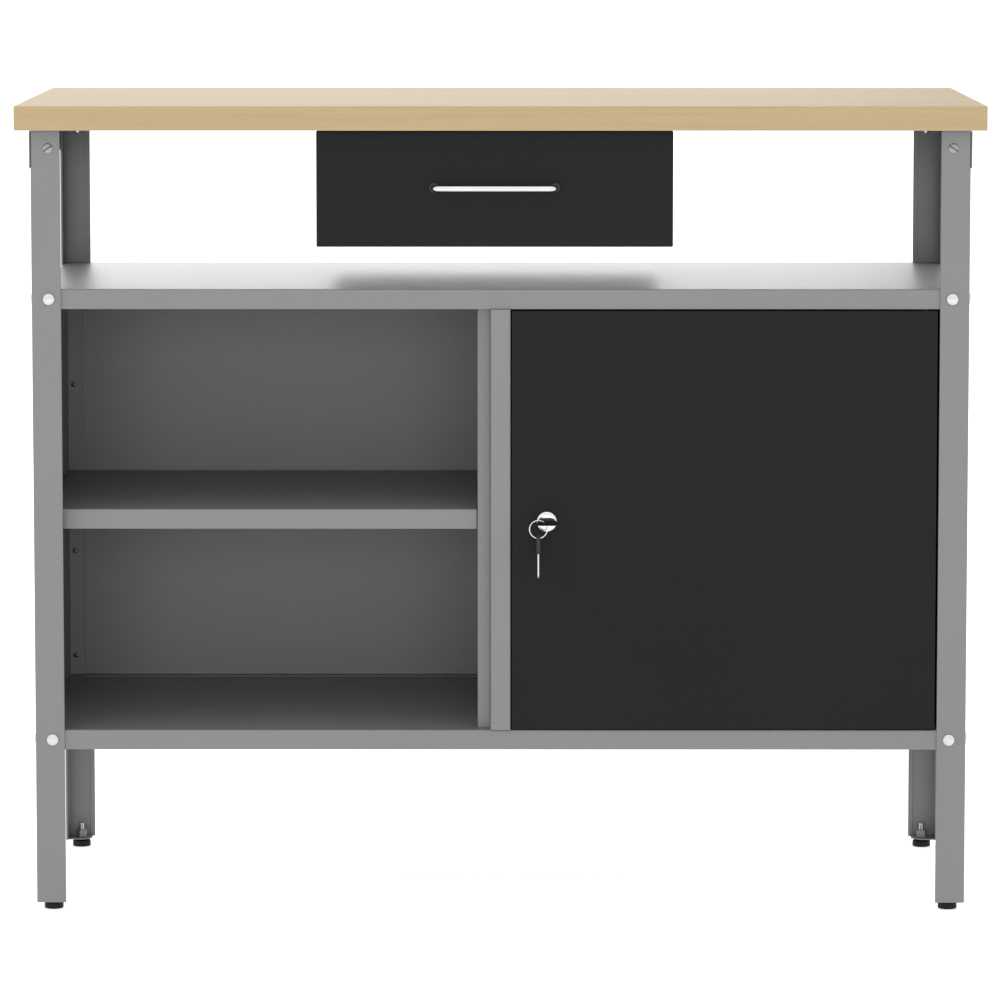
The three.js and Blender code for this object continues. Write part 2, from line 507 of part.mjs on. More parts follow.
// ------------------------------------------------------------------ cam lock
{
  const lock = new THREE.Group();            // origin on the lock's axis
  lock.position.set(LOCK_X, 0, LOCK_Z);
  frame.add(lock);
  place('lock_housing', cut(
    join(
      turned([[0, 0], [LOCK_FACE_R, 0], [LOCK_FACE_R, 0.9], [LOCK_FACE_R - 1.1, 2], [0, 2]], 24),
      rod(BARREL_R, 0.5, -23.1, 'z', 0, 0, 0, 20)),
    rod(PLUG_R + 0.3, -30, 10, 'z', 0, 0, 0, 20),
  ), chrome(), 0, LOCK_FACE_Y + 2, 0, OUT_FRONT, lock);
  place('lock_nut', prism(hexagon(21), 0, 4, [circle(BARREL_R + 0.4, 20).reverse()]), zinc(),
    0, DOOR_Y0 + SHEET + 0.3, 0, OUT_REAR, lock);
  // plug: keyway open at the front, square tang at the back
  place('lock_plug', join(cut(
    rod(PLUG_R, LOCK_FACE_Y + 0.3, PLUG_BACK, 'y', 0, 0, 0, 20),
    block(-BLADE_W / 2 - 0.3, BLADE_W / 2 + 0.3, LOCK_FACE_Y - 1, PLUG_BACK - 2.4, -BLADE_T / 2 - 0.3, BLADE_T / 2 + 0.3)),
    block(-3, 3, PLUG_BACK - 0.5, PLUG_BACK + 2.1, -3, 3),
  ), chrome(), 0, 0, 0, null, lock);
  // cam: upright when unlocked
  place('lock_cam', cut(
    prism([[-7, -9], [7, -9], [7, 38], [3, 44], [-3, 44], [-7, 38]], 0, 2),
    block(-3.3, 3.3, -3.3, 3.3, -1, 3),
  ), zinc(), 0, PLUG_BACK + 2.3, 0, OUT_FRONT, lock);
  place('lock_cam_screw', join(
    turned([[0, 0], [4.4, 0], [4.6, 0.8], [3.8, 2.2], [0, 2.6]]),
  ), zinc(), 0, PLUG_BACK + 2.6, 0, OUT_REAR, lock);
}

// ---------------------------------------------------------------------- keys
// local frame: slot centre at the origin, head towards -Y, blade towards +Y
function key() {
  const w = KEY_HEAD_W / 2, y0 = -KEY_SLOT_H / 2 - KEY_EDGE, y1 = y0 + KEY_HEAD_L, c = 4;
  const head = [[-w + c, y0], [w - c, y0], [w - 1.2, y0 + 1.2], [w, y0 + c], [w, y1 - c], [w - 1.2, y1 - 1.2], [w - c, y1],
    [-w + c, y1], [-w + 1.2, y1 - 1.2], [-w, y1 - c], [-w, y0 + c], [-w + 1.2, y0 + 1.2]];
  const sw = KEY_SLOT_W / 2, sh = KEY_SLOT_H / 2;
  const slot = [[-sw, -sh], [-sw, sh], [sw, sh], [sw, -sh]];
  return join(
    prism(head, -KEY_HEAD_T / 2, KEY_HEAD_T / 2, [slot]),
    prism([[-BLADE_W / 2, y1 - 1], [BLADE_W / 2, y1 - 1], [BLADE_W / 2, y1 + BLADE_L - 2.5], [0.8, y1 + BLADE_L],
      [-BLADE_W / 2, y1 + BLADE_L - 1.5]], -BLADE_T / 2, BLADE_T / 2),
  );
}
place('key', key(), zinc(), LOCK_X, KEY_Y, LOCK_Z);
{
  const g = new THREE.TorusGeometry(RING_R, RING_WIRE_R, 8, 32);
  g.rotateX(Math.PI / 2);
  place('key_ring', solid(g), chrome(), RING_X, KEY_Y, RING_Z);
}
// the spare key hangs edge-on from the bottom of the ring
place('spare_key', key(), zinc(), RING_X, KEY_Y, RING_Z - RING_R + 1.3 - KEY_SLOT_H / 2, [-Math.PI / 2, Math.PI / 2, 0]);

// ---------------------------------------------- origin under the box's middle
const FRONTMOST = KEY_Y - KEY_HEAD_W / 2;
const REARMOST = TOP_FRONT + TOP_D;
frame.position.y = -(FRONTMOST + REARMOST) / 2;

export default bench;
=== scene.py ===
import math
import bmesh
import bpy
import numpy as np
from mathutils import Matrix, Vector


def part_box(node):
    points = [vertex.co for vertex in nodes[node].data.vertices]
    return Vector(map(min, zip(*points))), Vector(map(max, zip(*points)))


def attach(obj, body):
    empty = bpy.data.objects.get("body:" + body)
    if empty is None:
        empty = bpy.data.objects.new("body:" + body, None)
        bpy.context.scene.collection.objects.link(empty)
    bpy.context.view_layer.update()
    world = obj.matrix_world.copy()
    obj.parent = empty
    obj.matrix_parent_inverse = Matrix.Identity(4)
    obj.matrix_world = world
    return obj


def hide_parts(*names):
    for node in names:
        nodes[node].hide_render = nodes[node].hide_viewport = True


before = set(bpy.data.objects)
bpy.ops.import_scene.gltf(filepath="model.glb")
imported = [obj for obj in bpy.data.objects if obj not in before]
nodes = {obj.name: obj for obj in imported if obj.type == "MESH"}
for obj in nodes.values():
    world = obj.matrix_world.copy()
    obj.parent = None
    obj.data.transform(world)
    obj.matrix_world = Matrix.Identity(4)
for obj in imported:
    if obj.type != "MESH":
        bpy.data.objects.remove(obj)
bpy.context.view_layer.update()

# All sizes below are in the bench's own millimetres; SHY moves them to the row frame.
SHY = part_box("worktop")[0].y * 1000.0 + 220.0
S = 0.001


# ---------------------------------------------------------------- materials

def new_material(name):
    m = bpy.data.materials.new(name)
    m.use_nodes = True
    nt = m.node_tree
    nt.nodes.clear()
    out = nt.nodes.new("ShaderNodeOutputMaterial")
    b = nt.nodes.new("ShaderNodeBsdfPrincipled")
    nt.links.new(b.outputs["BSDF"], out.inputs["Surface"])
    tc = nt.nodes.new("ShaderNodeTexCoord")
    return m, nt, b, tc.outputs["Object"]


def noise(nt, vec, scale, detail=2.0, rough=0.5, stretch=None, distortion=0.0):
    if stretch:
        mp = nt.nodes.new("ShaderNodeMapping")
        mp.inputs["Scale"].default_value = stretch
        nt.links.new(vec, mp.inputs["Vector"])
        vec = mp.outputs["Vector"]
    n = nt.nodes.new("ShaderNodeTexNoise")
    n.inputs["Scale"].default_value = scale
    n.inputs["Detail"].default_value = detail
    n.inputs["Roughness"].default_value = rough
    n.inputs["Distortion"].default_value = distortion
    nt.links.new(vec, n.inputs["Vector"])
    return n.outputs["Fac"]


def ramp(nt, fac, stops):
    r = nt.nodes.new("ShaderNodeValToRGB")
    e = r.color_ramp.elements
    e[0].position, e[0].color = stops[0][0], (*stops[0][1], 1)
    e[1].position, e[1].color = stops[-1][0], (*stops[-1][1], 1)
    for p, c in stops[1:-1]:
        k = e.new(p)
        k.color = (*c, 1)
    nt.links.new(fac, r.inputs["Fac"])
    return r.outputs["Color"]


def span(nt, fac, lo, hi, a=0.3, b=0.7):
    r = nt.nodes.new("ShaderNodeMapRange")
    r.inputs["From Min"].default_value = a
    r.inputs["From Max"].default_value = b
    r.inputs["To Min"].default_value = lo
    r.inputs["To Max"].default_value = hi
    nt.links.new(fac, r.inputs["Value"])
    return r.outputs["Result"]


def mix(nt, kind, fac, a, b):
    m = nt.nodes.new("ShaderNodeMix")
    m.data_type = "RGBA"
    m.blend_type = kind
    if isinstance(fac, float):
        m.inputs["Factor"].default_value = fac
    else:
        nt.links.new(fac, m.inputs["Factor"])
    for sock, v in ((m.inputs[6], a), (m.inputs[7], b)):
        if isinstance(v, tuple):
            sock.default_value = (*v, 1)
        else:
            nt.links.new(v, sock)
    return m.outputs[2]


def bump(nt, b, height, strength, distance, after=None):
    n = nt.nodes.new("ShaderNodeBump")
    n.inputs["Strength"].default_value = strength
    n.inputs["Distance"].default_value = distance
    nt.links.new(height, n.inputs["Height"])
    if after is not None:
        nt.links.new(after, n.inputs["Normal"])
    nt.links.new(n.outputs["Normal"], b.inputs["Normal"])
    return n.outputs["Normal"]


def lin(v):
    v /= 255.0
    return v / 12.92 if v <= 0.04045 else ((v + 0.055) / 1.055) ** 2.4


def rgb(r, g, b, k=1.0):
    return (lin(r) * k, lin(g) * k, lin(b) * k)


def powder(name, base, spread, rough, spec, speck=0.06):
    m, nt, b, vec = new_material(name)
    cloud = noise(nt, vec, 5.0, 3.0)
    grain = noise(nt, vec, 1400.0, 1.0, 0.6)
    c = ramp(nt, cloud, [(0.3, tuple(v * (1 - spread) for v in base)), (0.7, tuple(v * (1 + spread) for v in base))])
    g = ramp(nt, grain, [(0.25, (1 - speck,) * 3), (0.75, (1 + speck,) * 3)])
    nt.links.new(mix(nt, "MULTIPLY", 1.0, c, g), b.inputs["Base Color"])
    peel = noise(nt, vec, 620.0, 2.0, 0.55)
    nt.links.new(span(nt, peel, rough - 0.05, rough + 0.05), b.inputs["Roughness"])
    bump(nt, b, peel, 0.12, 0.00025)
    b.inputs["Specular IOR Level"].default_value = spec
    b.inputs["IOR"].default_value = 1.5
    return m


GREY = powder("grey_powder_coat", (0.128, 0.1322, 0.1295), 0.02, 0.42, 0.5)
BLACK = powder("black_powder_coat", (0.0080, 0.0080, 0.0080), 0.04, 0.46, 0.1, 0.12)


def wood(name):
    m, nt, b, vec = new_material(name)
    bands = noise(nt, vec, 1.0, 4.0, 0.55, (0.9, 26.0, 40.0), 0.25)
    streak = noise(nt, vec, 1.0, 3.0, 0.6, (5.0, 190.0, 190.0), 0.1)
    fleck = noise(nt, vec, 1.0, 1.0, 0.5, (70.0, 900.0, 900.0))
    c = ramp(nt, bands, [(0.25, (0.272, 0.199, 0.101)), (0.5, (0.292, 0.216, 0.113)), (0.78, (0.308, 0.231, 0.125))])
    s = ramp(nt, streak, [(0.28, (0.93, 0.915, 0.89)), (0.5, (1, 1, 1)), (0.8, (1.03, 1.03, 1.03))])
    f = ramp(nt, fleck, [(0.27, (0.90, 0.87, 0.82)), (0.36, (1, 1, 1)), (0.9, (1, 1, 1))])
    c = mix(nt, "MULTIPLY", 1.0, c, s)
    c = mix(nt, "MULTIPLY", 0.8, c, f)
    nt.links.new(c, b.inputs["Base Color"])
    nt.links.new(span(nt, streak, 0.56, 0.66), b.inputs["Roughness"])
    b.inputs["Specular IOR Level"].default_value = 0.36
    bump(nt, b, streak, 0.08, 0.0002)
    return m


BEECH = wood("beech_board")


def metal(name, color, rough, fine=0.04, scale=900.0, stretch=None, aniso=0.0, bump_k=0.05):
    m, nt, b, vec = new_material(name)
    n = noise(nt, vec, scale, 2.0, 0.5, stretch)
    cloud = noise(nt, vec, 60.0, 2.0)
    c = ramp(nt, cloud, [(0.3, tuple(v * 0.96 for v in color)), (0.7, tuple(min(1.0, v * 1.03) for v in color))])
    nt.links.new(c, b.inputs["Base Color"])
    nt.links.new(span(nt, n, rough - fine, rough + fine), b.inputs["Roughness"])
    b.inputs["Metallic"].default_value = 1.0
    b.inputs["Anisotropic"].default_value = aniso
    bump(nt, b, n, bump_k, 0.00008)
    return m


ZINC = metal("zinc_steel", (0.54, 0.545, 0.54), 0.26)
CHROME = metal("chrome_plate", (0.58, 0.59, 0.585), 0.10, 0.02, 400.0, None, 0.0, 0.015)
NICKEL = metal("nickel_key", (0.50, 0.49, 0.465), 0.22, 0.05, 1.0, (60.0, 1800.0, 1800.0), 0.0, 0.06)


def plastic(name, color, rough, spec=0.4):
    m, nt, b, vec = new_material(name)
    n = noise(nt, vec, 1500.0, 2.0, 0.6)
    cloud = noise(nt, vec, 90.0, 2.0)
    c = ramp(nt, cloud, [(0.3, tuple(v * 0.92 for v in color)), (0.7, tuple(v * 1.08 for v in color))])
    nt.links.new(c, b.inputs["Base Color"])
    nt.links.new(span(nt, n, rough - 0.06, rough + 0.06), b.inputs["Roughness"])
    b.inputs["Specular IOR Level"].default_value = spec
    bump(nt, b, n, 0.15, 0.0001)
    return m


PLASTIC = plastic("black_plastic", (0.009, 0.009, 0.009), 0.5, 0.12)
COLLAR = plastic("grey_plastic_collar", (0.03, 0.03, 0.03), 0.45, 0.2)
KEYCAP = plastic("key_head_plastic", (0.004, 0.004, 0.0042), 0.6, 0.06)
SCREWGREY = metal("screw_grey", (0.26, 0.265, 0.265), 0.34)

# door pivot pins: their near-black colour is painted shade for the pins seen in the gaps above and below the door
PIN_SHADE = metal("pivot_pin_painted_shade", (0.05, 0.05, 0.052), 0.5)
# screw slots and the keyway: their near-black colour is painted shade inside the recess
RECESS_SHADE = metal("recess_painted_shade", (0.022, 0.022, 0.021), 0.6)
SPARECAP = plastic("spare_head_plastic", (0.024, 0.024, 0.0245), 0.5, 0.15)
# foot-plate nuts: matt zinc, with the colour darkened as painted shade under the leg
NUT_SHADE = metal("matt_zinc_nut_painted_shade", (0.20, 0.204, 0.204), 0.6)


# ---------------------------------------------------------------- mesh tools

def XY(u, v, w): return (u, v, w)      # section in plan, length up
def XZ(u, v, w): return (u, w, v)      # section seen from the front, length back
def YZ(u, v, w): return (w, u, v)      # section seen from the side, length across


def join(*parts):
    verts, faces = [], []
    for v, f in parts:
        o = len(verts)
        verts += list(v)
        faces += [tuple(i + o for i in g) for g in f]
    return verts, faces


def moved(part, fn):
    return [fn(*p) for p in part[0]], part[1]


def mesh_of(name, part, sharp=38.0, k=S):
    me = bpy.data.meshes.new(name)
    me.from_pydata([(x * k, y * k, z * k) for x, y, z in part[0]], [], [list(f) for f in part[1]])
    bm = bmesh.new()
    bm.from_mesh(me)
    bmesh.ops.remove_doubles(bm, verts=bm.verts, dist=2e-3 * k)
    bmesh.ops.dissolve_degenerate(bm, edges=bm.edges, dist=1e-3 * k)
    bmesh.ops.recalc_face_normals(bm, faces=bm.faces)
    bm.to_mesh(me)
    bm.free()
    me.polygons.foreach_set("use_smooth", [True] * len(me.polygons))
    me.set_sharp_from_angle(angle=math.radians(sharp))
    return me


def add(name, me, mat, body, replaces=(), matrix=None, weighted=True):
    ob = bpy.data.objects.new(name, me)
    bpy.context.scene.collection.objects.link(ob)
    if not me.materials:
        me.materials.append(mat)
    if matrix is not None:
        ob.matrix_world = matrix
    if weighted:
        w = ob.modifiers.new("normals", "WEIGHTED_NORMAL")
        w.mode = "FACE_AREA"
        w.weight = 50
        w.keep_sharp = True
    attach(ob, body)
    if replaces:
        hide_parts(*replaces)
    return ob


def build(name, part, mat, body, replaces=(), sharp=38.0, weighted=True):
    part = moved(part, lambda x, y, z: (x, y + SHY, z))
    return add(name, mesh_of(name, part, sharp), mat, body, replaces, None, weighted)


def at(x, y, z, rot=None):
    m = Matrix.Translation(Vector((x, y + SHY, z)) * S)
    return m @ rot if rot is not None else m


def turn(axis, deg):
    return Matrix.Rotation(math.radians(deg), 4, axis)


OUT_FRONT = turn("X", 90)      # +Z of a fastener turned to -Y
OUT_REAR = turn("X", -90)
OUT_LEFT = turn("Y", -90)
OUT_RIGHT = turn("Y", 90)


def strip(pts, t, fil, end=0.22, n=6):
    """Outline of a folded sheet: centre line pts, sheet t, centre radius of each bend."""
    P = [np.array(p, float) for p in pts]
    k = len(P)
    sam = []
    for i in range(k):
        if i == 0:
            d = P[1] - P[0]
            sam.append((P[0], d / np.linalg.norm(d)))
        elif i == k - 1:
            d = P[-1] - P[-2]
            sam.append((P[-1], d / np.linalg.norm(d)))
        else:
            a = P[i] - P[i - 1]; a = a / np.linalg.norm(a)
            b = P[i + 1] - P[i]; b = b / np.linalg.norm(b)
            ang = math.atan2(a[0] * b[1] - a[1] * b[0], a @ b)
            r = fil[i - 1]
            s = P[i] - a * r * math.tan(abs(ang) / 2)
            c = s + np.array([-a[1], a[0]]) * (1 if ang > 0 else -1) * r
            for j in range(n + 1):
                th = ang * j / n
                R = np.array([[math.cos(th), -math.sin(th)], [math.sin(th), math.cos(th)]])
                sam.append((c + R @ (s - c), R @ a))
    def nn(d): return np.array([-d[1], d[0]])
    left = [p + nn(d) * t / 2 for p, d in sam]
    right = [p - nn(d) * t / 2 for p, d in sam]
    (p0, d0), (p1, d1) = sam[0], sam[-1]
    left[0] = left[0] + d0 * end
    right[0] = right[0] + d0 * end
    left[-1] = left[-1] - d1 * end
    right[-1] = right[-1] - d1 * end
    h = t / 2 - end
    out = [p0 + nn(d0) * h] + left + [p1 + nn(d1) * h, p1 - nn(d1) * h] + right[::-1] + [p0 - nn(d0) * h]
    return [tuple(q) for q in out]


def extrude(outline, a, b, mp, edge=0.0):
    n = len(outline)
    v = [mp(u, w, a) for u, w in outline] + [mp(u, w, b) for u, w in outline]
    f = [(i, (i + 1) % n, n + (i + 1) % n, n + i) for i in range(n)]
    f += [tuple(range(n)), tuple(range(2 * n - 1, n - 1, -1))]
    return v, f


def loft(rings, closed=False):
    n = len(rings[0])
    v = [p for r in rings for p in r]
    f = []
    m = len(rings)
    for i in range(m if closed else m - 1):
        a, b = i * n, ((i + 1) % m) * n
        f += [(a + j, a + (j + 1) % n, b + (j + 1) % n, b + j) for j in range(n)]
    if not closed:
        f += [tuple(range(n)), tuple(range((m - 1) * n, m * n))[::-1]]
    return v, f


def rrect(u0, u1, v0, v1, r, n=5):
    r = max(r, 0.02)
    out = []
    for cx, cy, a0 in ((u1 - r, v1 - r, 0), (u0 + r, v1 - r, 90), (u0 + r, v0 + r, 180), (u1 - r, v0 + r, 270)):
        for j in range(n + 1):
            a = math.radians(a0 + 90.0 * j / n)
            out.append((cx + r * math.cos(a), cy + r * math.sin(a)))
    return out


def shell(u0, u1, v0, v1, w0, w1, t, mp, R=1.7, rc=2.0, e=0.18, n=6):
    """A pan pressed from one sheet: closed face at w1, rim at w0, walls t thick, bend radius R outside."""
    s = 1.0 if w1 > w0 else -1.0
    ri = max(R - t, 0.3)
    levels = []
    for j in range(n + 1):
        a = math.pi / 2 * j / n
        levels.append((R * (1 - math.sin(a)), w1 - s * R * (1 - math.cos(a)), rc))
    levels += [(0.0, w0 + s * e, rc), (e, w0, rc), (t - e, w0, rc), (t, w0 + s * e, rc)]
    for j in range(n + 1):
        a = math.pi / 2 * (1 - j / n)
        levels.append((t + ri * (1 - math.sin(a)), w1 - s * t - s * ri * (1 - math.cos(a)), rc))
    rings = []
    for d, w, c in levels:
        rings.append([mp(u, v, w) for u, v in rrect(u0 + d, u1 - d, v0 + d, v1 - d, c - d)])
    return loft(rings)


def block(x0, x1, y0, y1, z0, z1, c=0.15):
    """Small sheet piece with its edges eased."""
    x0, x1 = min(x0, x1), max(x0, x1)
    y0, y1 = min(y0, y1), max(y0, y1)
    rings = []
    for d, z in ((c, z0), (0.0, z0 + c), (0.0, z1 - c), (c, z1)):
        rings.append([(u, v, z) for u, v in rrect(x0 + d, x1 - d, y0 + d, y1 - d, max(c * 1.5 - d, 0.03), 2)])
    return loft(rings)


def lathe(prof, seg=40, closed=False):
    v, rows, f = [], [], []
    for r, h in prof:
        if r < 1e-6:
            rows.append([len(v)])
            v.append((0, 0, h))
        else:
            rows.append(list(range(len(v), len(v) + seg)))
            v += [(r * math.cos(2 * math.pi * k / seg), r * math.sin(2 * math.pi * k / seg), h) for k in range(seg)]
    m = len(rows)
    for i in range(m if closed else m - 1):
        a, b = rows[i], rows[(i + 1) % m]
        for k in range(seg):
            q = (k + 1) % seg
            if len(a) == 1 and len(b) == 1:
                continue
            if len(a) == 1:
                f.append((a[0], b[k], b[q]))
            elif len(b) == 1:
                f.append((a[k], a[q], b[0]))
            else:
                f.append((a[k], a[q], b[q], b[k]))
    return v, f


def hexnut(af, z0, z1, hole, seg=48):
    rc = af / 2 * 0.985
    def R(a): return af / 2 / math.cos((a % (math.pi / 3)) - math.pi / 6)
    ang = [2 * math.pi * k / seg for k in range(seg)]
    def ring(rf, zf): return [(rf(a) * math.cos(a), rf(a) * math.sin(a), zf(a)) for a in ang]
    ch = lambda a: 0.06 + max(0.0, R(a) - rc) * 0.6
    rings = [
        ring(lambda a: hole, lambda a: z0 + 0.45),
        ring(lambda a: hole + 0.45, lambda a: z0),
        ring(lambda a: min(R(a), rc) - 0.05, lambda a: z0),
        ring(lambda a: R(a), lambda a: z0 + ch(a)),
        ring(lambda a: R(a), lambda a: z1 - ch(a)),
        ring(lambda a: min(R(a), rc) - 0.05, lambda a: z1),
        ring(lambda a: hole + 0.45, lambda a: z1),
        ring(lambda a: hole, lambda a: z1 - 0.45),
    ]
    return loft(rings, True)


def thread(r, z0, z1, pitch, depth=None, seg=24, per=6):
    depth = pitch * 0.42 if depth is None else depth
    n = max(4, int(round((z1 - z0) / pitch * per)))
    rings = []
    for i in range(n + 1):
        z = z0 + (z1 - z0) * i / n
        fade = min(1.0, (z1 - z) / pitch, (z - z0) / pitch + 0.3)
        row = []
        for k in range(seg):
            ph = (z / pitch - k / seg) % 1.0
            d = depth * abs(2 * ph - 1)
            rr = r - depth + (depth - d) * max(fade, 0.0)
            a = 2 * math.pi * k / seg
            row.append((rr * math.cos(a), rr * math.sin(a), z))
        rings.append(row)
    return loft(rings)


def sweep(path, r, seg=20, closed=False, ry=None, up=(0, 0, 1)):
    """Round (or oval, with ry across) wire along a path that stays in one plane with normal up."""
    pts = [np.array(p, float) for p in path]
    up = np.array(up, float)
    rings = []
    n = len(pts)
    for i in range(n):
        if closed:
            t = pts[(i + 1) % n] - pts[i - 1]
        else:
            t = pts[min(i + 1, n - 1)] - pts[max(i - 1, 0)]
        t = t / np.linalg.norm(t)
        side = np.cross(up, t); side = side / np.linalg.norm(side)
        ring = []
        rr = r[i] if hasattr(r, "__len__") else r
        ru = ry if ry is not None else rr
        for k in range(seg):
            a = 2 * math.pi * k / seg
            ring.append(tuple(pts[i] + side * rr * math.cos(a) + up * ru * math.sin(a)))
        rings.append(ring)
    return loft(rings, closed)


def cut_with(name, part, tool_parts, mat, recess=None):
    """Takes the tools away from a solid, and gives back a clean mesh in metres. The recess it leaves can take a second,
    darker material as painted shade.
    """
    me = mesh_of(name, part, 38.0, 1.0)
    a = bpy.data.objects.new("tmp_a", me)
    bpy.context.scene.collection.objects.link(a)
    tools = []
    for i, tp in enumerate(tool_parts):
        tm = mesh_of("tmp_t%d" % i, tp, 38.0, 1.0)
        t = bpy.data.objects.new("tmp_t%d" % i, tm)
        bpy.context.scene.collection.objects.link(t)
        m = a.modifiers.new("cut%d" % i, "BOOLEAN")
        m.operation = "DIFFERENCE"
        m.solver = "EXACT"
        m.object = t
        tools.append(t)
    dg = bpy.context.evaluated_depsgraph_get()
    dg.update()
    out = bpy.data.meshes.new_from_object(a.evaluated_get(dg))
    for o in [a] + tools:
        bpy.data.objects.remove(o)
    bpy.data.meshes.remove(me)
    if recess is not None:
        boxes = [[(min(v[i] for v in tp[0]) - 0.02, max(v[i] for v in tp[0]) + 0.02) for i in range(3)] for tp in tool_parts]
        for poly in out.polygons:
            for bx in boxes:
                if all(bx[i][0] <= out.vertices[k].co[i] <= bx[i][1] for k in poly.vertices for i in range(3)):
                    poly.material_index = 1
    out.transform(Matrix.Scale(S, 4))
    out.name = name
    out.polygons.foreach_set("use_smooth", [True] * len(out.polygons))
    out.set_sharp_from_angle(angle=math.radians(38))
    index = [poly.material_index for poly in out.polygons]
    out.materials.clear()
    out.materials.append(mat)
    if recess is not None:
        out.materials.append(recess)
        out.polygons.foreach_set("material_index", [min(i, 1) for i in index])
    else:
        out.polygons.foreach_set("material_index", [0] * len(index))
    return out


# ---------------------------------------------------------------- the worktop

top = nodes["worktop"]
top.data.materials.clear()
top.data.materials.append(BEECH)
b = top.modifiers.new("edge", "BEVEL")
b.width = 0.0011
b.segments = 4
b.limit_method = "ANGLE"
b.angle_limit = math.radians(40)
w = top.modifiers.new("normals", "WEIGHTED_NORMAL")
w.weight = 50
top.data.polygons.foreach_set("use_smooth", [True] * len(top.data.polygons))

# ---------------------------------------------------------------- legs and rails

HX, HY = 484.5, 205.0
LEG, HEM = 30.5, 5.0
leg_t = 1.15
hc = leg_t / 2
hf = (leg_t + 0.1) / 2
leg_line = [(LEG - HEM, hc + leg_t + 0.1), (LEG - hc, hc + leg_t + 0.1), (LEG - hc, hc), (hc, hc),
            (hc, LEG - hc), (hc + leg_t + 0.1, LEG - hc), (hc + leg_t + 0.1, LEG - HEM)]
leg_outline = strip(leg_line, leg_t, [hf, hf, 1.7, hf, hf])
plate_pts = [(0.9, 0.9), (28, 0.9), (28, 19), (19, 28), (0.9, 28)]


def prism(pts, z0, z1, c=0.2):
    """Plate with a convex outline and eased edges."""
    cx = sum(p[0] for p in pts) / len(pts)
    cy = sum(p[1] for p in pts) / len(pts)
    def inset(d):
        out = []
        for x, y in pts:
            l = math.hypot(x - cx, y - cy)
            out.append((x - (x - cx) / l * d, y - (y - cy) / l * d))
        return out
    return loft([[(x, y, z) for x, y in inset(d)] for d, z in ((c * 1.3, z0), (0, z0 + c), (0, z1 - c), (c * 1.3, z1))])


for side, sx in (("left", -1), ("right", 1)):
    for fore, sy in (("front", -1), ("rear", 1)):
        def into(x, y, z, sx=sx, sy=sy): return (sx * (HX - x), sy * (HY - y), z)
        part = join(extrude(leg_outline, 8.5, 813.2, XY), prism(plate_pts, 8.5, 9.7))
        build(f"{fore}_{side}_leg", moved(part, into), GREY, "bench_frame", [f"leg_{fore}_{side}"])

    web = strip([(485.3, 775.8), (485.3, 814.0), (455.5, 814.0)], 1.2, [1.7])
    part = join(
        extrude(web, -205.0, 206.4, XZ),
        block(457.5, 481.5, -202.4, -201.2, 785, 813.5),
        block(457.5, 485.8, 205.2, 206.4, 785, 814.2),
    )
    build(f"{side}_top_rail", moved(part, lambda x, y, z: (sx * x, y, z)), GREY, "bench_frame", [f"top_side_rail_{side}"])

# ---------------------------------------------------------------- tray, shelf, panels

part = join(shell(-481.9, 481.9, -202.4, 202.4, 630.0, 650.6, 1.0, XY),
            block(-479.4, 479.4, -201.6, -187, 630.0, 631.0))
build("tray", part, GREY, "bench_frame", ["upper_tray"])
build("floor_pan", shell(-481.9, 481.9, -202.4, 202.4, 169.8, 190.4, 1.0, XY), GREY, "bench_frame", ["bottom_panel"])
build("shelf_pan", shell(-479.5, -24.2, -185, 198.8, 399.4, 420.0, 1.0, XY), GREY, "bench_frame", ["middle_shelf"])

for side, sx in (("left", -1), ("right", 1)):
    line = strip([(480.2, -201.2), (480.2, 199.5), (463.7, 199.5)], 1.0, [1.5])
    part = join(extrude(line, 190.6, 649.4, XY),
                block(463.7, 480.4, -184, 198.9, 190.6, 191.6),
                block(463.7, 480.4, -184, 198.9, 648.4, 649.4))
    build(f"{side}_side", moved(part, lambda x, y, z: (sx * x, y, z)), GREY, "bench_frame", [f"side_panel_{side}"])

line = strip([(185.2, 191.1), (200.7, 191.1), (200.7, 649.4)], 1.0, [1.5])
part = join(extrude(line, -463.2, 463.2, YZ),
            block(-480.7, -463.3, 200.2, 201.2, 190.6, 649.4),
            block(463.3, 480.7, 200.2, 201.2, 190.6, 649.4))
build("back", part, GREY, "bench_frame", ["back_panel"])

line = strip([(-10.7, -185.9), (-23.5, -185.9), (-23.5, 200.0)], 1.0, [1.5])
part = join(extrude(line, 190.6, 649.4, XY),
            block(-23.4, -8, -178.4, 183.2, 190.6, 191.6),
            block(-23.4, -8, -178.4, 183.2, 648.4, 649.4))
build("divider", part, GREY, "bench_frame", ["divider_panel"])

line = strip([(-21, -184.7), (-10, -184.7), (-10, -204.5), (10, -204.5), (10, -184.7), (2.5, -184.7)], 1.0, [1.2, 1.6, 1.6, 1.2])
build("post", extrude(line, 190.6, 629.8, XY), GREY, "bench_frame", ["divider_post"])

# ---------------------------------------------------------------- drawer and runners

for side, s, edge in (("left", -1, -180.0), ("right", 1, 168.0)):
    o = edge + s * 9.8 - s * 0.6
    line = strip([(edge + s * 1.4, 799.6), (o, 799.6), (o, 814.0), (edge - s * 8, 814.0)], 1.2, [1.3, 1.3])
    build(f"{side}_runner", extrude(line, -191, 186, XZ), ZINC, "bench_frame", [f"drawer_runner_{side}"])

part = shell(-190, 178, 694.5, 814.1, -194.0, -205.0, 1.2, XZ, R=1.5, rc=1.6)
build("drawer_face", part, BLACK, "drawer", ["drawer_front"])
part = join(shell(-180, 168, -193.7, 177, 801.5, 700.0, 1.0, XY, R=1.8, rc=2.2),
            block(-188, -179.6, -192.5, 177, 800.5, 801.5),
            block(167.6, 176, -192.5, 177, 800.5, 801.5))
build("drawer_tub", part, BLACK, "drawer", ["drawer_box"] + [n for n in ("drawer_bottom",) if n in nodes])

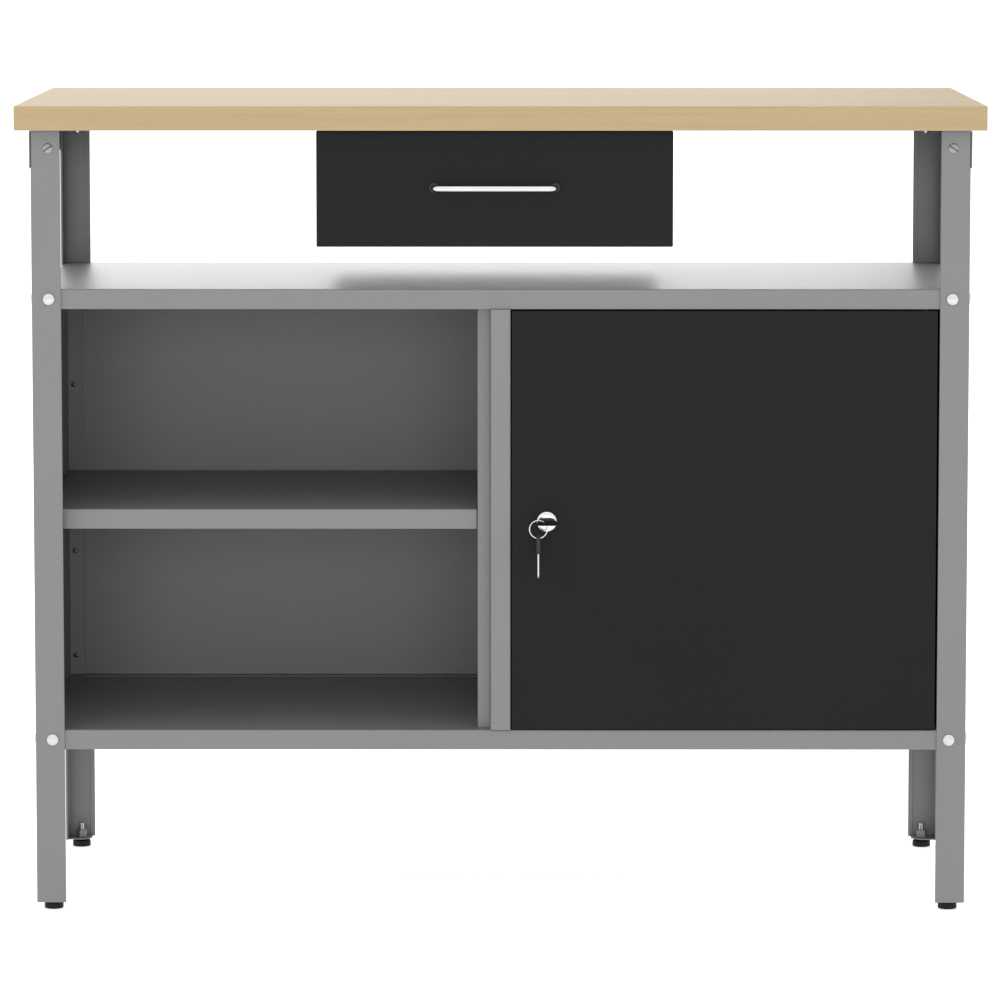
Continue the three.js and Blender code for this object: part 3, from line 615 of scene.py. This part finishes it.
# handle: round rod bent at both ends, on two collars
hx, hz, half, out, rb, rr = -6.0, 755.5, 62.5, -19.0, 7.0, 3.3
path = [(-half, -0.9), (-half, -4.0), (-half, -8.0), (-half, out + rb + 0.5)]
for j in range(13):
    a = math.pi / 2 * j / 12
    path.append((-half + rb - rb * math.cos(a), out + rb - rb * math.sin(a)))
path += [(-half + rb + 1.0 + (2 * half - 2 * rb - 2.0) * j / 8, out) for j in range(9)]
for j in range(13):
    a = math.pi / 2 * (1 - j / 12)
    path.append((half - rb + rb * math.cos(a), out + rb - rb * math.sin(a)))
path += [(half, out + rb + 0.5), (half, -8.0), (half, -4.0), (half, -0.9)]
rod = sweep([(hx + x, -205 + y, hz) for x, y in path], rr, 28)
build("handle_rod", rod, CHROME, "drawer", ["drawer_handle"], 60.0, False)
collar = lathe([(0, 0.05), (4.7, 0.05), (4.9, 0.25), (4.9, 1.1), (4.6, 1.6), (3.9, 1.85), (3.3, 1.9), (0, 1.9)], 40)
collar_me = mesh_of("handle_collar", collar)
head = lathe([(0, 0), (3.6, 0), (4.0, 0.35), (3.9, 1.0), (3.3, 1.7), (2.0, 2.15), (0, 2.3)], 32)
head_me = cut_with("handle_screw", head, [block(-2.2, 2.2, -0.45, 0.45, 1.1, 3.5, 0.02), block(-0.45, 0.45, -2.2, 2.2, 1.15, 3.6, 0.02)], ZINC, RECESS_SHADE)
for k, s in (("left", -1), ("right", 1)):
    add(f"handle_collar_{k}", collar_me, COLLAR, "drawer", ["drawer_handle"], at(hx + s * half, -205, hz, OUT_FRONT))
    add(f"handle_screw_{k}", head_me, ZINC, "drawer", ["drawer_handle"], at(hx + s * half, -192.5, hz, OUT_REAR))

# ---------------------------------------------------------------- door, pivots, lock, keys

part = join(shell(11.5, 452, 191.6, 628.4, -188.6, -204.6, 1.0, XZ, R=1.02, rc=1.4),
            block(11.7, 23.5, -189.6, -188.6, 191.8, 628.2),
            block(440, 451.8, -189.6, -188.6, 215.6, 604.4))
build("door_leaf", part, BLACK, "door", ["door_panel"])

pin = join(lathe([(0, -8), (2.2, -8), (2.5, -7.7), (2.5, 12.0), (2.0, 12.5), (0, 12.5)], 28),
           lathe([(2.4, -4.6), (3.9, -4.6), (4.2, -4.3), (4.2, -1.9), (3.9, -1.6), (2.4, -1.6)], 28, True))
pin_me = mesh_of("door_pivot", pin)
add("pivot_upper", pin_me, PIN_SHADE, "door", ["door_pivot_upper"], at(440, -197, 628.4))
add("pivot_lower", pin_me, PIN_SHADE, "door", ["door_pivot_lower"], at(440, -197, 191.6, turn("X", 180)))

LX, LZ = 48.0, 409.3
# the housing: its face stands 2 mm ahead of the door, threaded barrel behind, a bore for the plug
hous = [(6.06, -0.1), (6.16, 0.0), (8.6, 0.0), (9.7, -0.25), (10.35, -0.8), (10.6, -1.4), (10.6, -1.85), (10.3, -2.0), (8.05, -2.0)]
z = -2.6
while z > -24.4:
    hous += [(8.0, z), (7.55, z - 0.45)]
    z -= 0.9
hous += [(7.6, -25.1), (6.06, -25.1)]
me = mesh_of("lock_housing_skin", lathe(hous, 48, True), 30.0)
add("lock_face", me, CHROME, "door", ["lock_housing"], at(LX, -206.8, LZ, OUT_FRONT))
me = mesh_of("lock_nut_skin", hexnut(21.0, 0.0, 4.0, 8.1, 60))
add("lock_ring_nut", me, ZINC, "door", ["lock_nut"], at(LX, -203.3, LZ, OUT_REAR))

plug = lathe([(0, -0.02), (5.84, -0.02), (6.0, -0.18), (6.0, -26.3), (3.0, -26.3), (3.0, -28.4), (0, -28.4)], 48)
key_slot = ([], [])
plug_me = cut_with("lock_plug_skin", plug, [block(-3.7, 3.7, -1.25, 1.25, -24.0, 1.0, 0.02)], CHROME, RECESS_SHADE)
add("lock_core", plug_me, CHROME, "lock_cylinder", ["lock_plug"], at(LX, -206.8 + 0.0, LZ, OUT_FRONT))


def capsule(x, z0, z1, w0, w1, c=0.2, n=12):
    """Bar with round ends, standing up."""
    r = x
    def ring(d, w):
        rr = r - d
        pts = []
        for j in range(n + 1):
            a = math.pi * j / n
            pts.append((rr * math.cos(a), z1 - r + rr * math.sin(a)))
        for j in range(n + 1):
            a = math.pi + math.pi * j / n
            pts.append((rr * math.cos(a), z0 + r + rr * math.sin(a)))
        return [(u, w, v) for u, v in pts]
    return loft([ring(c, w0), ring(0, w0 + c), ring(0, w1 - c), ring(c, w1)])


cam = capsule(7.0, -9.0, 44.0, 0.0, 2.0)
cam = moved(cam, lambda x, y, z: (LX + x, -180.2 + y, LZ + z))
build("cam_bar", cam, ZINC, "lock_cylinder", ["lock_cam"])
cs = lathe([(0, 0), (4.2, 0), (4.6, 0.4), (4.6, 0.9), (4.1, 1.8), (3.0, 2.4), (0, 2.6)], 32)
cs_me = cut_with("cam_screw_skin", cs, [block(-2.4, 2.4, -0.5, 0.5, 1.3, 3.5, 0.02), block(-0.5, 0.5, -2.4, 2.4, 1.35, 3.6, 0.02)], ZINC, RECESS_SHADE)
add("cam_screw", cs_me, ZINC, "lock_cylinder", ["lock_cam_screw"], at(LX, -177.9, LZ, OUT_REAR))


def ringplate(outer, inner, t, c):
    """Flat plate with a hole: outlines of equal point count, thickness t, edges rounded by c."""
    def grow(pts, d):
        n = len(pts)
        out = []
        for i in range(n):
            ax, ay = pts[i - 1]
            bx, by = pts[(i + 1) % n]
            tx, ty = bx - ax, by - ay
            l = math.hypot(tx, ty) or 1.0
            out.append((pts[i][0] + ty / l * d, pts[i][1] - tx / l * d))
        return out
    rings = []
    steps = 4
    for j in range(steps + 1):
        a = math.pi / 2 * j / steps
        rings.append((grow(outer, -c * (1 - math.cos(a))), t / 2 - c * (1 - math.sin(a))))
    for j in range(steps + 1):
        a = math.pi / 2 * (1 - j / steps)
        rings.append((grow(inner, c * (1 - math.cos(a))), t / 2 - c * (1 - math.sin(a))))
    for j in range(steps + 1):
        a = math.pi / 2 * j / steps
        rings.append((grow(inner, c * (1 - math.cos(a))), -t / 2 + c * (1 - math.sin(a))))
    for j in range(steps + 1):
        a = math.pi / 2 * (1 - j / steps)
        rings.append((grow(outer, -c * (1 - math.cos(a))), -t / 2 + c * (1 - math.sin(a))))
    return loft([[(x, y, w) for x, y in ps] for ps, w in rings], True)


def key_parts():
    y0 = -5.5 / 2 - 1.8
    y1 = y0 + 19.3
    outer = rrect(-10, 10, y0, y1, 5.2, 8)
    inner = rrect(-6, 6, -2.75, 2.75, 2.5, 8)
    cap = ringplate(outer, inner, 4.0, 0.75)
    # the blade: milled grooves on both faces, cuts along one edge, a pointed tip
    rings = []
    L = 24.8
    cuts = [(4.5, 0.0), (6.2, 1.3), (7.6, 1.3), (9.0, 0.4), (10.4, 1.7), (11.6, 1.7), (13.0, 0.7), (14.2, 1.2),
            (15.2, 1.2), (16.6, 0.3), (17.8, 1.8), (18.8, 1.8), (20.4, 0.6), (21.6, 1.0), (22.6, 1.4), (23.8, 2.4), (24.8, 3.2)]
    stations = [(-1.0, 0.0), (1.5, 0.0)] + cuts
    for s, d in stations:
        tip = max(0.0, s - 22.6) / 2.2
        xl = -3.5 + 1.6 * tip
        xr = 3.5 - d
        g = 0.55 if s > 1.6 else 0.12
        h = 0.98 - 0.25 * tip
        a, b_, c_, d_ = -1.9, -1.5, 0.1, 0.5
        d_ = min(d_, xr - 0.1); c_ = min(c_, d_ - 0.2)
        sec = [(xl, -h + 0.15), (xl, h - 0.15), (xl + 0.15, h), (max(a, xl + 0.3), h), (max(b_, xl + 0.5), h - g), (c_, h - g), (d_, h), (xr - 0.15, h),
               (xr, h - 0.15), (xr, -h + 0.15), (xr - 0.15, -h), (d_ + 0.0, -h), (c_, -h + g), (max(b_, xl + 0.5), -h + g), (max(a, xl + 0.3), -h), (xl + 0.15, -h)]
        rings.append([(u, y1 + s, v) for u, v in sec])
    blade = loft(rings)
    return cap, blade


cap, blade = key_parts()
cap_me = mesh_of("key_head_skin", cap, 50.0)
spare_me = mesh_of("spare_head_skin", cap, 50.0)
flip = ([(-x, y, z * 0.86) for x, y, z in blade[0]], [tuple(reversed(f)) for f in blade[1]])
flip_me = mesh_of("spare_blade_skin", flip, 30.0)
blade_me = mesh_of("key_blade_skin", blade, 30.0)
key_at = at(LX, -223.0, LZ)
spare_at = at(39.2, -223.0, 403.3 - 9.2 + 1.3 - 2.75, Matrix.Rotation(math.radians(90), 4, "Y").to_4x4())
# the spare hangs with its head edge-on: same turn as the CAD piece
spare_rot = (Matrix.Rotation(-math.pi / 2, 4, "X") @ Matrix.Rotation(math.pi / 2, 4, "Y"))
spare_at = at(39.2, -223.0, 403.3 - 9.2 + 1.3 - 2.75, spare_rot)
add("key_head", cap_me, KEYCAP, "lock_cylinder", ["key"], key_at)
add("key_blade", blade_me, NICKEL, "lock_cylinder", ["key"], key_at)
add("spare_head", spare_me, SPARECAP, "hanging_key", ["spare_key"], spare_at)
add("spare_blade", flip_me, NICKEL, "hanging_key", ["spare_key"], spare_at)

# split ring: one flat wire, nearly two turns, with the step where it crosses
pts = []
N = 150
a0, a1 = 0.35, 4 * math.pi - 0.35
for i in range(N + 1):
    a = a0 + (a1 - a0) * i / N
    k = min(max((a - (2 * math.pi - 0.3)) / 0.6, 0.0), 1.0)
    k = k * k * (3 - 2 * k)
    y = -0.39 + 0.78 * k
    pts.append((39.2 + 9.2 * math.cos(a + 2.4), -223.0 + y, 403.3 + 9.2 * math.sin(a + 2.4)))
build("split_ring", sweep(pts, 0.58, 12, False, 0.36, (0, 1, 0)), CHROME, "ring", ["key_ring"], 60.0, False)

# ---------------------------------------------------------------- fasteners

def bolt_mesh(name, grip):
    dome = [(0, 3.1)]
    for j in range(1, 11):
        a = math.pi / 2 * j / 10
        dome.append((6.35 * math.sin(a) ** 0.92, 0.35 + 2.75 * math.cos(a)))
    dome += [(6.35, 0.12), (6.2, 0.02), (0, 0.02)]
    return mesh_of(name, join(lathe(dome, 40), thread(2.9, -grip - 6.6, 0.3, 1.0), hexnut(10.0, -grip - 4.8, -grip, 2.7)))


low = 2.4 + 0.2 + 1.0 + 0.2
BOLT_LOW = bolt_mesh("dome_bolt_a", low)
BOLT_HIGH = bolt_mesh("dome_bolt_b", low + 1.2)
BOLT_TOP = bolt_mesh("dome_bolt_c", 1.2 + 0.2 + 1.2 + 0.2)
for side, s in (("left", -1), ("right", 1)):
    for row, z, hi in (("lower", 180.2, False), ("upper", 640.3, True)):
        x, y = s * (HX - 17.8), HY - 17.8
        sg = BOLT_HIGH if hi else BOLT_LOW
        OUT_SIDE = OUT_LEFT if s < 0 else OUT_RIGHT
        add(f"dome_front_{row}_{side}", BOLT_LOW, ZINC, "bench_frame", [f"bolt_front_{row}_{side}"], at(x, -HY, z, OUT_FRONT))
        add(f"dome_rear_{row}_{side}", sg, ZINC, "bench_frame", [f"bolt_rear_{row}_{side}"], at(x, HY, z, OUT_REAR))
        add(f"dome_side_front_{row}_{side}", sg, ZINC, "bench_frame", [f"bolt_side_front_{row}_{side}"], at(s * HX, -y, z, OUT_SIDE))
        add(f"dome_side_rear_{row}_{side}", sg, ZINC, "bench_frame", [f"bolt_side_rear_{row}_{side}"], at(s * HX, y, z, OUT_SIDE))
    add(f"dome_top_rear_{side}", BOLT_TOP, ZINC, "bench_frame", [f"bolt_top_rear_{side}"], at(s * 466.5, HY - 1.2, 798.3, OUT_FRONT))

g = 2.4 + 0.2 + 1.2 + 0.2
scr = lathe([(0, 1.6), (2.0, 1.56), (3.4, 1.42), (4.5, 1.1), (5.2, 0.65), (5.45, 0.2), (5.4, 0.05), (0, 0.05)], 40)
scr_me = cut_with("slot_screw_head", scr, [block(-6.5, 6.5, -0.5, 0.5, 0.35, 3.0, 0.02)], SCREWGREY, RECESS_SHADE)
bm = bmesh.new()
bm.from_mesh(scr_me)
tail = mesh_of("slot_screw_tail", join(thread(2.4, -g - 5.6, 0.3, 0.8), hexnut(8.0, -g - 3.6, -g, 2.2)))
bm.from_mesh(tail)
bm.to_mesh(scr_me)
bm.free()
for side, s in (("left", -1), ("right", 1)):
    m = at(s * 466.5, -HY, 796, OUT_FRONT @ turn("Z", -s * math.degrees(0.6)))
    add(f"slot_screw_{side}", scr_me, SCREWGREY, "bench_frame", [f"slotted_screw_front_{side}"], m)

# feet: moulded disc on a threaded stud, and the nut on the leg's foot plate
disc = lathe([(0, 0), (8.6, 0), (9.4, 0.25), (9.85, 0.8), (9.95, 1.6), (9.95, 5.2), (9.75, 6.1), (9.1, 6.75), (8.2, 7.0), (5.6, 7.0),
              (5.1, 7.2), (5.0, 7.6), (4.9, 8.1), (4.4, 8.2), (0, 8.2)], 48)
foot_me = mesh_of("foot_skin", disc, 30.0)
stud_me = mesh_of("foot_stud_skin", thread(2.8, 7.6, 25.4, 0.8))
fnut_me = mesh_of("foot_nut_skin", hexnut(10.0, 0.0, 8.2, 2.75))
for fore, sy in (("front", -1), ("rear", 1)):
    for side, sx in (("left", -1), ("right", 1)):
        x, y = sx * 468.0, sy * 188.5
        body = f"foot_{fore}_{side}_body"
        add(f"foot_disc_{fore}_{side}", foot_me, PLASTIC, body, [f"foot_{fore}_{side}"], at(x, y, 0))
        add(f"foot_stud_{fore}_{side}", stud_me, ZINC, body, [f"foot_{fore}_{side}"], at(x, y, 0))
        add(f"plate_nut_{fore}_{side}", fnut_me, NUT_SHADE, "bench_frame", [f"foot_nut_{fore}_{side}"], at(x, y, 9.9, turn("Z", 12)))

# small cross-recess screws that hold the panels' flanges
ph = lathe([(0, 1.5), (1.2, 1.42), (2.1, 1.1), (2.7, 0.55), (2.8, 0.1), (2.7, 0.0), (0, 0.0)], 28)
ph_me = cut_with("panel_screw", ph, [block(-1.5, 1.5, -0.32, 0.32, 0.7, 2.5, 0.02), block(-0.32, 0.32, -1.5, 1.5, 0.72, 2.6, 0.02)], SCREWGREY, RECESS_SHADE)
spots = []
for s in (-1, 1):
    for z in (212.5, 330.0, 515.0, 612.0):
        spots.append((s * 473.6, 199.0, z, OUT_FRONT))
    for y in (128.0, -120.0):
        spots.append((s * 472.6, y, 191.6, None))
for x in (-452.0, -245.0, -60.0, 60.0, 245.0, 452.0):
    spots.append((x, 192.0, 191.6, None))
for y in (-120.0, 128.0):
    spots.append((-15.5, y, 191.6, None))
for i, (x, y, z, rot) in enumerate(spots):
    add(f"panel_screw_{i:02d}", ph_me, SCREWGREY, "bench_frame", (), at(x, y, z, rot))

# ---------------------------------------------------------------- stage, light, camera

fm, fnt, fb, _ = new_material("floor_pale")
fb.inputs["Base Color"].default_value = (0.66, 0.66, 0.66, 1)
fb.inputs["Emission Color"].default_value = (1, 1, 1, 1)
fb.inputs["Emission Strength"].default_value = 0.57
fb.inputs["Roughness"].default_value = 1.0
fb.inputs["Specular IOR Level"].default_value = 0.0
me = bpy.data.meshes.new("floor")
F = 60.0
me.from_pydata([(-F, -F, 0), (F, -F, 0), (F, F, 0), (-F, F, 0)], [], [(0, 1, 2, 3)])
floor = bpy.data.objects.new("floor", me)
floor.location = (0, 0, -0.0004)
bpy.context.scene.collection.objects.link(floor)
me.materials.append(fm)

world = bpy.data.worlds.new("studio")
bpy.context.scene.world = world
world.use_nodes = True
wn = world.node_tree
wn.nodes.clear()
wo = wn.nodes.new("ShaderNodeOutputWorld")
wb = wn.nodes.new("ShaderNodeBackground")
wt = wn.nodes.new("ShaderNodeTexCoord")
ws = wn.nodes.new("ShaderNodeSeparateXYZ")
wr = wn.nodes.new("ShaderNodeMapRange")
wr.inputs["From Min"].default_value = 0.0
wr.inputs["From Max"].default_value = 1.0
wr.inputs["To Min"].default_value = 1.38
wr.inputs["To Max"].default_value = 1.55
wn.links.new(wt.outputs["Generated"], ws.inputs[0])
wn.links.new(ws.outputs["Z"], wr.inputs["Value"])
wn.links.new(wr.outputs["Result"], wb.inputs["Strength"])
wb.inputs["Color"].default_value = (1, 1, 1, 1)
wn.links.new(wb.outputs[0], wo.inputs[0])


def area(name, loc, target, size, power, size_y=None):
    l = bpy.data.lights.new(name, "AREA")
    l.shape = "RECTANGLE"
    l.size = size
    l.size_y = size_y or size
    l.energy = power
    o = bpy.data.objects.new(name, l)
    o.location = loc
    o.rotation_mode = "QUATERNION"
    o.rotation_quaternion = (Vector(target) - Vector(loc)).to_track_quat("-Z", "Y")
    bpy.context.scene.collection.objects.link(o)
    return o


front = area("front_softbox", (-0.2, -5.2, 0.95), (0, 0, 0.5), 2.6, 94.0, 1.4)
front.visible_glossy = False
front.visible_camera = False
rear = area("rear_softbox", (-1.75, 4.2, 1.75), (-0.4, 0, 0.75), 5.4, 80.0, 1.7)
rear.visible_camera = False

cam = bpy.data.cameras.new("camera")
cam.sensor_width = 36.0
cam.lens = 201.87
cam.clip_start = 0.1
cam.clip_end = 200.0
co = bpy.data.objects.new("camera", cam)
co.location = (0.016225, (-5982.69 + SHY) * S, 1.079934)
co.rotation_euler = (math.pi / 2 - 0.1117, 0.0, 0.0029)
bpy.context.scene.collection.objects.link(co)
bpy.context.scene.camera = co

sc = bpy.context.scene
sc.view_settings.view_transform = "Standard"
sc.view_settings.look = "None"

bpy.context.view_layer.update()
